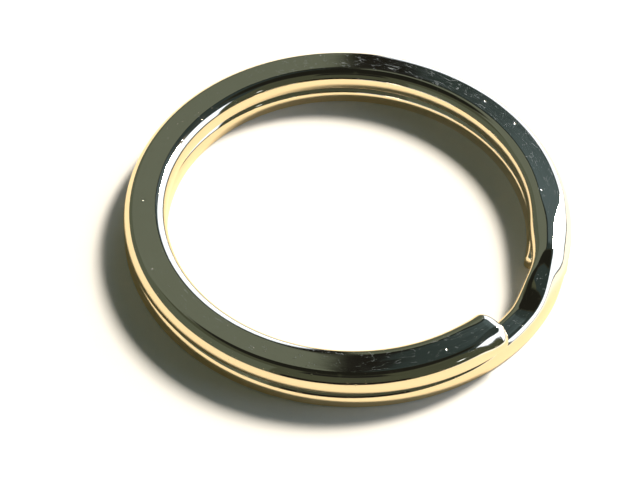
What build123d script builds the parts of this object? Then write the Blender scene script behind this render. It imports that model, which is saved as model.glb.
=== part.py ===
from build123d import *
import os
from math import cos, degrees, radians, sin, sqrt

# A flat split key ring: one flattened, spring-hard steel wire, wound to two turns that lie on each other.
# The wire runs clockwise (seen from above) and downwards: it starts at a free end on the upper level,
# goes nearly once round, steps down beside that end, and goes nearly once round again below.
# Frame: the axis is Z, the lower turn lies on Z = 0, and angles are counted from +X, counter-clockwise.
# Lengths are in millimetres and angles in degrees.

# The ring
outer_radius = 15.0
band_width = 2.9  # across one turn, from the eye to the rim
wire_thickness = 1.3
turn_gap = 0.05  # between the two turns, which only just part

# The wire's section: flat above and below, its two upper edges rolled over into sloping shoulders
rim_reach = 0.8  # how far in from the rim its shoulder starts
rim_hold = 0.55  # share of that reach along which the shoulder leaves the flat
rim_stand = 0.4  # share of its drop along which it comes down to the rim
eye_reach = 0.82  # the same for the shoulder on the eye's side
eye_hold = 0.85
eye_stand = 0.4
wall_height = 0.2  # of the upright wall below that shoulder
corner_radius = 0.1  # of the two lower edges
quarter_circle = 0.5523  # handle of a curve that makes a quarter circle, as a share of its radius

# The step, where the wire comes down beside the upper free end, its rim before its eye side
step_start = -10.5  # here its rim leaves the upper level
step_end = -25.5  # and here its rim has reached the lower one
step_skew = 9.0  # how much later its eye side does
upper_end = -43.5  # tip of the free end above, just past the foot of the step
lower_end = -13.5  # tip of the free end below, which reaches in under the step

# The wire is narrower at the step: its inner edge is drawn out towards the rim
neck_depth = 0.75
narrowing_run = 28.0  # angle over which it narrows, as far as the foot of the step
widening_run = 14.0  # angle over which it widens again, under the free end

# It is more crowned there, as its shoulders take these shares of the flat
rim_crown = 0.5
eye_crown = 0.3
crown_start = 10.0
crown_end = -12.0
crown_run = 16.0

# Free ends: rounded over in plan and, less, in height, and crowned too
rim_tip_radius = 0.5
eye_tip_radius = 0.9
tip_drop = 0.28
tip_length = 0.6
tip_crown = 0.5
tip_crown_run = 10.0

station_pitch = 1.5  # angle between the sections of the stretch with the step
tip_stations = 5  # sections of a free end's rounding
tip_share = 0.97  # how far along its rounding a free end is cut flat

inner_radius = outer_radius - band_width
upper_foot = wire_thickness + turn_gap  # the height of the upper turn's underside
middle_radius = (outer_radius + inner_radius) / 2
neck_start = step_end + narrowing_run
neck_end = upper_end - widening_run  # on the lower level, under the upper turn
tip_angle = degrees(tip_length / middle_radius)


def ease(share):
    """Goes from 0 to 1 with no corner at either end."""
    share = min(max(share, 0.0), 1.0)
    return share**3 * (10 - 15 * share + 6 * share**2)


def upright(angle):
    """The upright plane through the axis at that angle: its X points outwards and its Y up."""
    outwards = (cos(radians(angle)), sin(radians(angle)), 0)
    along = (sin(radians(angle)), -cos(radians(angle)), 0)
    return Plane(origin=(0, 0, 0), x_dir=outwards, z_dir=along)


def wire_section(angle, eye_foot, rim_foot, neck=0.0, crown=0.0, rounded=0.0):
    """The wire's section at an angle round the ring, its underside at those two heights."""
    outer = outer_radius - rim_tip_radius * rounded
    inner = inner_radius + neck + eye_tip_radius * rounded
    low = tip_drop * rounded
    high = wire_thickness - low
    across = (outer - inner) / band_width
    flat = outer - inner - (rim_reach + eye_reach) * across
    flat_out = outer - rim_reach * across - rim_crown * crown * flat
    flat_in = inner + eye_reach * across + eye_crown * crown * flat
    wall_foot = low + corner_radius
    wall_top = wall_foot + wall_height * (high - low) / wire_thickness
    hold = rim_hold * (1 - crown / 2)
    bend = corner_radius * (1 - quarter_circle)
    slope = (rim_foot - eye_foot) / (outer - inner)

    def at(radius, height):
        return radius, eye_foot + slope * (radius - inner) + height

    with BuildSketch(upright(angle)) as section:
        with BuildLine():
            Line(at(flat_in, high), at(flat_out, high))
            Bezier(
                at(flat_out, high),
                at(flat_out + hold * (outer - flat_out), high),
                at(outer, wall_foot + rim_stand * (high - wall_foot)),
                at(outer, wall_foot),
            )
            Bezier(
                at(outer, wall_foot),
                at(outer, low + bend),
                at(outer - bend, low),
                at(outer - corner_radius, low),
            )
            Line(at(outer - corner_radius, low), at(inner + corner_radius, low))
            Bezier(
                at(inner + corner_radius, low),
                at(inner + bend, low),
                at(inner, low + bend),
                at(inner, wall_foot),
            )
            Line(at(inner, wall_foot), at(inner, wall_top))
            Bezier(
                at(inner, wall_top),
                at(inner, wall_top + eye_stand * (high - wall_top)),
                at(flat_in + eye_hold * (inner - flat_in), high),
                at(flat_in, high),
            )
        make_face()
    return section.sketch


def step_section(angle):
    """The section between the two full turns, where the wire steps down, is narrower and is crowned."""
    rim_fallen = ease((step_start - angle) / (step_start - step_end))
    eye_fallen = ease((step_start - step_skew - angle) / (step_start - step_end))
    narrowing = ease((neck_start - angle) / (neck_start - step_end))
    widening = ease((upper_end - angle) / (upper_end - neck_end))
    crown = ease((crown_start - angle) / crown_run) - ease((crown_end - angle) / crown_run)
    return wire_section(
        angle,
        upper_foot * (1 - eye_fallen),
        upper_foot * (1 - rim_fallen),
        neck=neck_depth * (narrowing - widening),
        crown=crown,
    )


def tip_sections(root, heading, foot):
    """Sections of a free end: crowned along its run, and then shrinking as a quarter circle does."""
    sections = []
    runs = round(tip_crown_run / station_pitch)
    for station in range(runs):
        angle = root - heading * tip_crown_run * (1 - station / runs)
        crown = tip_crown * ease(station / runs)
        sections.append(wire_section(angle, foot, foot, crown=crown))
    for station in range(tip_stations + 1):
        share = tip_share * station / tip_stations
        angle = root + heading * tip_angle * share
        shrunk = 1 - sqrt(1 - share * share)
        sections.append(wire_section(angle, foot, foot, crown=tip_crown, rounded=shrunk))
    return sections


upper_root = upper_end + 360 - tip_angle
lower_root = lower_end - 360 + tip_angle
upper_run = upper_root - tip_crown_run
lower_run = lower_root + tip_crown_run

with BuildPart() as split_ring:
    # upper turn, from the step round to where the free end begins
    upper = wire_section(crown_start, upper_foot, upper_foot)
    revolve(upper, axis=Axis.Z, revolution_arc=upper_run - crown_start)
    # the step down
    pitches = round((crown_start - neck_end) / station_pitch)
    pitch = (crown_start - neck_end) / pitches
    steps = [step_section(crown_start - station * pitch) for station in range(pitches + 1)]
    loft(steps, ruled=True)
    # lower turn, from where its free end begins round to the foot of the step
    revolve(wire_section(lower_run, 0, 0), axis=Axis.Z, revolution_arc=neck_end - lower_run)
    # the two free ends
    loft(tip_sections(upper_root, 1, upper_foot), ruled=True)
    loft(tip_sections(lower_root, -1, 0), ruled=True)

split_ring.part.label = "split_ring"
os.makedirs("parts", exist_ok=True)
export_step(split_ring.part, "parts/split_ring.step")
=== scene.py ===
from math import cos, degrees, pi, radians, sin

import bmesh
import bpy
from mathutils import Matrix, Vector
from mathutils.geometry import interpolate_bezier


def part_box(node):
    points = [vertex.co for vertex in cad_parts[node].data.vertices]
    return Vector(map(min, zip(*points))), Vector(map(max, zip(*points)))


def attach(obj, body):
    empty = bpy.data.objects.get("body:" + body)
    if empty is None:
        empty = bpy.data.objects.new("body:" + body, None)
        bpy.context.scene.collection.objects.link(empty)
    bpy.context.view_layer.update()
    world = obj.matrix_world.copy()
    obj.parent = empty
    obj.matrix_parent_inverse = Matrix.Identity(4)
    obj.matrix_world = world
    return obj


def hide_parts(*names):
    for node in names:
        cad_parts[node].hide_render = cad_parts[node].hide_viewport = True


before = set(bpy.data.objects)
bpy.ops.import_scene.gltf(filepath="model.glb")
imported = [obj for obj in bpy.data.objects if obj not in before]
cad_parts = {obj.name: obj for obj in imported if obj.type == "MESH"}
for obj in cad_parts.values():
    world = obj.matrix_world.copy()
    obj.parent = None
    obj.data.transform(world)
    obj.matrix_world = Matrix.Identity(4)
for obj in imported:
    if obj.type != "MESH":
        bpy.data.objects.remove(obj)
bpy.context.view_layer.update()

# A flat split key ring of plated spring steel, lying on a white bench sheet beside a wide window.
# Lengths are in metres and angles in degrees. The ring's axis is Z and it rests on Z = 0. Angles
# round it are counted from +X, counter-clockwise seen from above.

MM = 0.001
high_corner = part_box("split_ring")[1]

# The wire, which takes its outer size and its two levels from the frame
outer_radius = high_corner.y
ring_height = high_corner.z
band_width = 2.9 * MM
turn_gap = 0.05 * MM
wire_thickness = (ring_height - turn_gap) / 2

# Its section: flat above and below, with its two upper edges rolled over into sloping shoulders
rim_reach = 0.8 * MM
rim_hold = 0.55
rim_stand = 0.4
eye_reach = 0.82 * MM
eye_hold = 0.85
eye_stand = 0.4
wall_height = 0.2 * MM
corner_radius = 0.1 * MM
quarter_circle = 0.5523

# Where things are round the ring
step_start = -10.5
step_end = -25.5
step_skew = 9.0
upper_end = -43.5
lower_end = -13.5
neck_depth = 0.75 * MM
narrowing_run = 28.0
widening_run = 14.0
rim_crown = 0.5
eye_crown = 0.3
crown_start = 10.0
crown_end = -12.0
crown_run = 16.0
rim_tip_radius = 0.5 * MM
eye_tip_radius = 0.9 * MM
tip_drop = 0.28 * MM
tip_length = 0.6 * MM
tip_crown = 0.5
tip_crown_run = 10.0

# Fineness of the mesh
station_pitch = 1.5
tip_steps = 8
shoulder_points = 22
corner_points = 6
flat_points = 11
weld_share = 0.001  # of the corner radius, within which two points are one

# The plating's marks: (angle, radius, height, size), with the last three in millimetres
nicks = (
    (95, 12.35, 2.15, 0.10),
    (108, 12.35, 2.15, 0.09),
    (125, 12.35, 2.15, 0.13),
    (-86, 14.82, 2.10, 0.06),
    (-97, 14.55, 2.50, 0.07),
    (-61, 13.75, 2.65, 0.09),
    (48, 13.70, 2.65, 0.11),
    (36, 13.85, 2.65, 0.12),
    (9, 13.10, 2.65, 0.08),
    (-152, 14.10, 2.65, 0.07),
    (-177, 13.60, 2.65, 0.06),
)

# The plating's colours, and how much of them each kind of mark brings
dull_metal = (0.78, 0.75, 0.68)
bright_metal = (0.83, 0.81, 0.76)
drawn_colour = (0.7, 0.69, 0.65)
drawn_share = 0.16
speck_colour = (0.5, 0.45, 0.36)
speck_share = 0.7
scratch_colour = (0.9, 0.88, 0.83)
scratch_share = 0.35

# Its roughness, and what is added where it is hazy, grained or marked
clean_roughness = 0.035
haze_roughness = 0.025
grain_roughness = 0.02
scratch_roughness = 0.18
speck_roughness = 0.3
nick_roughness = 0.1

# How far each kind of mark stands out or goes in, in millimetres
drawn_rise = 0.0006
wave_rise = 0.006
scratch_depth = 0.0008
speck_depth = 0.002
nick_depth = 0.02

# How the marks lie: the drawn lines and the waves are long along the wire, because distances along it
# are shortened for them, and each family of scratches has its own tilt and scale
drawn_shortening = 0.06
wave_shortening = 0.1
scratch_families = ((0.05, 2.3), (0.3, 3.1), (0.8, 2.7))
scratch_along = 0.2
scratch_across = 0.9
scratch_width = 0.004  # of the noise, on either side of its middle
patch_share = 0.6  # of a scratch's scale, for the patches that it keeps to
noise_middle = 0.5

# The sheet: its own colours and its tooth, then its painted reflection in the metal, with painted shade
# and painted sun, which comes in where those shares of X and Y add up to more than sunny_start
sheet_half = 1.5
sheet_roughness = 0.9
sheet_cool = (0.93, 0.96, 1.0)
sheet_grey = (0.9, 0.94, 0.99)
tooth_share = 0.3
tooth_rise = 0.03 * MM
painted_shade_reflection = (0.98, 0.83, 0.55)
painted_sun_reflection = (1.0, 0.99, 0.97)
sunny_across = 0.75
sunny_away = 0.65
sunny_start = 7 * MM
sunny_end = 15 * MM

# The lamp, seen from the ring at this azimuth from +X and this elevation
lamp_side = 0.22
lamp_energy = 19
lamp_colour = (1.0, 0.87, 0.7)
lamp_azimuth = 49
lamp_elevation = 40
lamp_distance = 1.0

# The camera, which looks a little beside the ring's centre
camera_azimuth = -90
camera_elevation = 48.53
camera_distance = 148.54 * MM
camera_turn = -0.694
camera_tilt = -0.317
camera_roll = 2.896
camera_lens = 123.75
camera_sensor = 36
camera_clip = 0.01

# The room: what stands round the bench, from bearing to bearing (clockwise from +Y) and from height
# to height above the horizon, with half the width of its soft edge and its colour. What lies across
# the bearing of 180 has a row on either side of it.
uneven_scale = 3.0
dimmest_wall = 0.7  # share of its colour that is left in the darkest patches
dimmest_thing = 0.85
room_colour = (0.085, 0.092, 0.055)
room = (
    ("wall on the left", -150, -0.4, -5, 40, 0.6, (0.122, 0.138, 0.092)),
    ("curtain on the left", -75, -0.4, 30, 62, 0.6, (0.168, 0.186, 0.134)),
    ("window", 2.2, 101, 3, 43, 1.2, (1.55, 1.68, 1.85)),
    ("shelf over the window", 1.0, 110, 43, 62, 0.8, (0.035, 0.05, 0.046)),
    ("glass on the shelf", 4.5, 30, 45.5, 50.5, 1.6, (0.11, 0.15, 0.155)),
    ("window frame", -0.4, 2.2, 5, 65, 0.5, (0.014, 0.013, 0.01)),
    ("ceiling", -180, 180, 62, 95, 3.0, (0.016, 0.016, 0.011)),
    ("person", 155, 181, 43, 60, 3.0, (0.016, 0.015, 0.012)),
    ("person", -181, -160, 43, 60, 3.0, (0.016, 0.015, 0.012)),
    ("chair", 150, 181, -3, 9, 1.0, (0.012, 0.01, 0.008)),
    ("chair", -181, -155, -3, 9, 1.0, (0.012, 0.01, 0.008)),
    ("desk lamp", 125, 128, 14, 17, 0.8, (2.4, 2.5, 2.4)),
)


class Signal:
    """An output socket that can stand in an expression."""

    def __init__(self, nodes, socket):
        self.nodes = nodes
        self.socket = socket

    def __add__(self, other):
        return self.nodes.math("ADD", self, other)

    __radd__ = __add__

    def __sub__(self, other):
        return self.nodes.math("SUBTRACT", self, other)

    def __rsub__(self, other):
        return self.nodes.math("SUBTRACT", other, self)

    def __mul__(self, other):
        return self.nodes.math("MULTIPLY", self, other)

    __rmul__ = __mul__

    def __pow__(self, other):
        return self.nodes.math("POWER", self, other)

    def __rpow__(self, other):
        return self.nodes.math("POWER", other, self)


class Nodes:
    """The nodes of one material or of the world."""

    def __init__(self, owner):
        owner.use_nodes = True
        self.tree = owner.node_tree

    def plug(self, socket, value):
        if isinstance(value, Signal):
            self.tree.links.new(value.socket, socket)
        elif isinstance(value, tuple) and len(value) < len(socket.default_value):
            socket.default_value = (*value, 1)
        else:
            socket.default_value = value

    def add(self, kind, settings=None, inputs=None, output=0):
        """Adds a node: first its settings, then the values or links of its sockets."""
        node = self.tree.nodes.new(kind)
        for name, value in (settings or {}).items():
            setattr(node, name, value)
        for name, value in (inputs or {}).items():
            self.plug(node.inputs[name], value)
        return Signal(self, node.outputs[output])

    def math(self, operation, *values):
        return self.add("ShaderNodeMath", {"operation": operation}, dict(enumerate(values)))

    def split(self, vector):
        socket = {0: vector}
        return [self.add("ShaderNodeSeparateXYZ", None, socket, axis) for axis in "XYZ"]

    def join(self, x, y, z):
        return self.add("ShaderNodeCombineXYZ", None, {0: x, 1: y, 2: z})

    def ramp(self, value, low, high, bottom=0.0, top=1.0):
        """Goes smoothly from bottom to top while the value goes from low to high."""
        places = {"Value": value, "From Min": low, "From Max": high, "To Min": bottom, "To Max": top}
        return self.add("ShaderNodeMapRange", {"interpolation_type": "SMOOTHSTEP"}, places)

    def blend(self, factor, first, second):
        """Mixes two colours, which this node takes at sockets 6 and 7 and gives at output 2."""
        colours = {0: factor, 6: first, 7: second}
        return self.add("ShaderNodeMix", {"data_type": "RGBA"}, colours, output=2)

    def noise(self, place, scale, detail=2.0, roughness=0.5):
        sockets = {"Vector": place, "Scale": scale, "Detail": detail, "Roughness": roughness}
        return self.add("ShaderNodeTexNoise", None, sockets, "Fac")

    def feed(self, node_name, **values):
        """Sets or links the sockets of a node that is there already."""
        node = self.tree.nodes[node_name]
        for name, value in values.items():
            self.plug(node.inputs[name.replace("_", " ")], value)


def ease(share):
    """Goes from 0 to 1 with no corner at either end."""
    share = min(max(share, 0.0), 1.0)
    return share**3 * (10 - 15 * share + 6 * share**2)


def section(narrower=0.0, crowned=0.0, rounded=0.0):
    """Its radii and heights above its foot, all the way round from where the rim's shoulder starts."""
    outer = outer_radius - rim_tip_radius * rounded
    inner = outer_radius - band_width + narrower + eye_tip_radius * rounded
    low = tip_drop * rounded
    high = wire_thickness - low
    across = (outer - inner) / band_width
    flat = outer - inner - (rim_reach + eye_reach) * across
    flat_out = outer - rim_reach * across - rim_crown * crowned * flat
    flat_in = inner + eye_reach * across + eye_crown * crowned * flat
    foot = low + corner_radius
    wall_top = foot + wall_height * (high - low) / wire_thickness
    hold = rim_hold * (1 - crowned / 2)
    bend = corner_radius * (1 - quarter_circle)
    curves = (
        (
            (flat_out, high),
            (flat_out + hold * (outer - flat_out), high),
            (outer, foot + rim_stand * (high - foot)),
            (outer, foot),
        ),
        ((outer, foot), (outer, low + bend), (outer - bend, low), (outer - corner_radius, low)),
        ((inner + corner_radius, low), (inner + bend, low), (inner, low + bend), (inner, foot)),
        (
            (inner, wall_top),
            (inner, wall_top + eye_stand * (high - wall_top)),
            (flat_in + eye_hold * (inner - flat_in), high),
            (flat_in, high),
        ),
    )
    counts = (shoulder_points, corner_points, corner_points, shoulder_points)
    points = []
    for curve, count in zip(curves, counts):
        bent = interpolate_bezier(*[Vector(corner) for corner in curve], count)
        points += divide(points[-1], bent[0]) + bent if points else bent
    return points + divide(points[-1], points[0]) + points[:1]


def divide(start, end):
    """Points between two corners of a flat."""
    return [start.lerp(end, (step + 1) / (flat_points + 1)) for step in range(flat_points)]


def fallen(angle, late=0.0):
    """How far the wire has stepped down, which its eye side does later than its rim."""
    return ease((step_start - late - angle) / (step_start - step_end))


def wire_stations():
    """Every station's angle, neck, crown and rounding, from the upper free end to the lower one."""
    tip_angle = degrees(tip_length / (outer_radius - band_width / 2))
    neck_start = step_end + narrowing_run
    neck_end = upper_end - widening_run
    first = upper_end + 360 - tip_angle
    last = lower_end - 360 + tip_angle
    turns = [pi / 2 * step / tip_steps for step in range(tip_steps)]
    stations = [
        (first + tip_angle * cos(turn), 0.0, tip_crown, 1 - sin(turn)) for turn in turns
    ]
    count = round((first - last) / station_pitch)
    for step in range(count + 1):
        angle = first + (last - first) * step / count
        narrowing = ease((neck_start - angle) / (neck_start - step_end))
        widening = ease((upper_end - angle) / (upper_end - neck_end))
        crown = ease((crown_start - angle) / crown_run) - ease((crown_end - angle) / crown_run)
        tip = ease(1 - (first - angle) / tip_crown_run) + ease(1 - (angle - last) / tip_crown_run)
        stations.append((angle, neck_depth * (narrowing - widening), crown + tip_crown * tip, 0.0))
    for turn in reversed(turns):
        stations.append((last - tip_angle * cos(turn), 0.0, tip_crown, 1 - sin(turn)))
    return stations


def add_object(name, bm):
    mesh = bpy.data.meshes.new(name)
    bm.to_mesh(mesh)
    bm.free()
    thing = bpy.data.objects.new(name, mesh)
    bpy.context.scene.collection.objects.link(thing)
    return thing


def wind_wire():
    """Rolls a grid up into the wire, winds it through its two turns and closes both free ends."""
    stations = wire_stations()
    columns = len(section())
    rise = wire_thickness + turn_gap
    bm = bmesh.new()
    grid = bmesh.ops.create_grid(
        bm, x_segments=columns - 1, y_segments=len(stations) - 1, size=outer_radius
    )
    verts = iter(grid["verts"])
    for angle, narrower, crowned, rounded in stations:
        turn = radians(angle)
        points = section(narrower, crowned, rounded)
        inner, outer = min(point.x for point in points), max(point.x for point in points)
        eye_foot = rise * (1 - fallen(angle, step_skew))
        rim_foot = rise * (1 - fallen(angle))
        for radius, height in points:
            level = eye_foot + (rim_foot - eye_foot) * (radius - inner) / (outer - inner)
            next(verts).co = (radius * cos(turn), radius * sin(turn), level + height)
    bmesh.ops.remove_doubles(bm, verts=bm.verts, dist=corner_radius * weld_share)
    ends = [edge for edge in bm.edges if edge.is_boundary]
    bmesh.ops.holes_fill(bm, edges=ends)
    bmesh.ops.recalc_face_normals(bm, faces=bm.faces)
    for face in bm.faces:
        face.smooth = True
    return add_object("key_ring", bm)


def plated_steel():
    """Bright nickel on drawn wire: faint lines along it, hairline scratches, specks and nicks."""
    material = bpy.data.materials.new("plated_steel")
    nodes = Nodes(material)
    place = nodes.add("ShaderNodeTexCoord", None, None, "Object")
    spot = nodes.add("ShaderNodeVectorMath", {"operation": "SCALE"}, {0: place, "Scale": 1 / MM})
    x, y, z = nodes.split(spot)
    radius = (x * x + y * y) ** 0.5
    along = nodes.math("ARCTAN2", y, x) * (outer_radius / MM)
    drawn_place = nodes.join(radius, along * drawn_shortening, z)
    drawn = nodes.noise(drawn_place, scale=5.0, detail=4.0, roughness=0.6)
    wave_place = nodes.join(radius, along * wave_shortening, z)
    waves = nodes.noise(wave_place, scale=1.5, detail=2.0)
    clouds = nodes.noise(spot, scale=0.55, detail=3.0)
    grain = nodes.noise(spot, scale=26.0, detail=3.0)

    scratches = 0.0
    for tilt, scale in scratch_families:
        slanted = nodes.join(
            radius * tilt + along * scratch_along, along * tilt - radius * scratch_across, z
        )
        contour = nodes.math("ABSOLUTE", nodes.noise(slanted, scale, detail=1.0) - noise_middle)
        patches = nodes.noise(spot, scale * patch_share, detail=1.0)
        here = nodes.ramp(patches, low=0.58, high=0.66)
        lines = nodes.ramp(contour, low=0.0, high=scratch_width, bottom=1.0, top=0.0)
        scratches = scratches + lines * here
    scratches = nodes.math("MINIMUM", scratches, 1.0)

    cells = {"Vector": spot, "Scale": 1.5}
    near = nodes.add("ShaderNodeTexVoronoi", None, cells, "Distance")
    specks = nodes.ramp(near, low=0.03, high=0.08, bottom=1.0, top=0.0)
    specks = specks * nodes.ramp(clouds, low=0.52, high=0.6)

    dents = 0.0
    for angle, reach, height, size in nicks:
        turn = radians(angle)
        there = (reach * cos(turn), reach * sin(turn), height)
        away = nodes.add("ShaderNodeVectorMath", {"operation": "DISTANCE"}, {0: spot, 1: there}, "Value")
        dents = dents + nodes.ramp(away, low=0.0, high=size, bottom=1.0, top=0.0)

    tint = nodes.blend(clouds, dull_metal, bright_metal)
    tint = nodes.blend(drawn * drawn_share, tint, drawn_colour)
    tint = nodes.blend(specks * speck_share, tint, speck_colour)
    tint = nodes.blend(scratches * scratch_share, tint, scratch_colour)
    haze = nodes.ramp(clouds, low=0.35, high=0.75, bottom=0.0, top=haze_roughness)
    roughness = clean_roughness + haze + grain * grain_roughness
    roughness = roughness + scratches * scratch_roughness
    roughness = roughness + specks * speck_roughness + dents * nick_roughness
    height = drawn * drawn_rise + waves * wave_rise
    height = height - scratches * scratch_depth - specks * speck_depth - dents * nick_depth
    relief = nodes.add("ShaderNodeBump", None, {"Strength": 1.0, "Distance": MM, "Height": height})
    nodes.feed(
        "Principled BSDF", Base_Color=tint, Metallic=1.0, Roughness=roughness, Normal=relief
    )
    return material


def white_sheet():
    """Matt white board with a faint tooth, whose reflection in the metal is painted: warm in its shade,
    white in its sun.
    """
    material = bpy.data.materials.new("white_sheet")
    nodes = Nodes(material)
    place = nodes.add("ShaderNodeTexCoord", None, None, "Object")
    tooth = nodes.noise(place, scale=900.0, detail=4.0)
    mottle = nodes.noise(place, scale=60.0, detail=3.0)
    mirrored = nodes.add("ShaderNodeLightPath", None, None, "Is Glossy Ray")
    x, y, _ = nodes.split(place)
    # Painted reflection: glossy rays see the sheet painted by place, warm for its shade and white for
    # its sun
    sunny = nodes.ramp(x * sunny_across + y * sunny_away, sunny_start, sunny_end)
    painted_reflection = nodes.blend(sunny, painted_shade_reflection, painted_sun_reflection)
    sheet = nodes.blend(mottle, sheet_cool, sheet_grey)
    sheet = nodes.blend(mirrored, sheet, painted_reflection)
    bump = {"Strength": tooth_share, "Distance": tooth_rise, "Height": tooth}
    relief = nodes.add("ShaderNodeBump", None, bump)
    nodes.feed("Principled BSDF", Base_Color=sheet, Roughness=sheet_roughness, Normal=relief)
    nodes.feed("Principled BSDF", Specular_IOR_Level=0.0)
    return material


def hang_room():
    """Paints the room round the bench by direction."""
    world = bpy.data.worlds.new("room")
    bpy.context.scene.world = world
    nodes = Nodes(world)
    direction = nodes.add("ShaderNodeTexCoord", None, None, "Generated")
    x, y, z = nodes.split(direction)
    bearing = nodes.math("DEGREES", nodes.math("ARCTAN2", x, y))
    rise = nodes.math("DEGREES", nodes.math("ARCSINE", z))
    uneven = nodes.noise(direction, uneven_scale, detail=4.0)
    view = nodes.blend(uneven, room_colour, tuple(dimmest_wall * part for part in room_colour))
    for _, left, right, low, high, soft, colour in room:
        across = nodes.ramp(bearing, left - soft, left + soft)
        across = across * nodes.ramp(bearing, right - soft, right + soft, bottom=1.0, top=0.0)
        upward = nodes.ramp(rise, low - soft, low + soft)
        upward = upward * nodes.ramp(rise, high - soft, high + soft, bottom=1.0, top=0.0)
        shade = nodes.blend(uneven, colour, tuple(dimmest_thing * part for part in colour))
        view = nodes.blend(across * upward, view, shade)
    nodes.feed("Background", Color=view, Strength=1.0)


def aim(azimuth, elevation, distance):
    """The place that lies in that direction from the ring's centre, at that distance."""
    turn, rise = radians(azimuth), radians(elevation)
    return Vector((cos(turn) * cos(rise), sin(turn) * cos(rise), sin(rise))) * distance


ring = wind_wire()
ring.data.materials.append(plated_steel())
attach(ring, "root")
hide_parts("split_ring")

bm = bmesh.new()
bmesh.ops.create_grid(bm, x_segments=1, y_segments=1, size=sheet_half)
bench_sheet = add_object("bench_sheet", bm)
bench_sheet.data.materials.append(white_sheet())

hang_room()

lamp = bpy.data.lights.new("window_sun", "AREA")
lamp.shape = "RECTANGLE"
lamp.size = lamp_side
lamp.size_y = lamp_side
lamp.energy = lamp_energy
lamp.color = lamp_colour
lamp_object = bpy.data.objects.new("window_sun", lamp)
bpy.context.scene.collection.objects.link(lamp_object)
lamp_object.location = aim(lamp_azimuth, lamp_elevation, lamp_distance)
lamp_object.rotation_euler = (-lamp_object.location).to_track_quat("-Z", "Y").to_euler()

camera = bpy.data.cameras.new("camera")
camera.lens = camera_lens
camera.sensor_width = camera_sensor
camera.clip_start = camera_clip
camera_object = bpy.data.objects.new("camera", camera)
bpy.context.scene.collection.objects.link(camera_object)
camera_object.matrix_world = (
    Matrix.Translation(aim(camera_azimuth, camera_elevation, camera_distance))
    @ Matrix.Rotation(radians(90 - camera_elevation), 4, "X")
    @ Matrix.Rotation(radians(-camera_turn), 4, "Y")
    @ Matrix.Rotation(radians(camera_tilt), 4, "X")
    @ Matrix.Rotation(radians(camera_roll), 4, "Z")
)
bpy.context.scene.camera = camera_object
bpy.context.scene.view_settings.view_transform = "Standard"
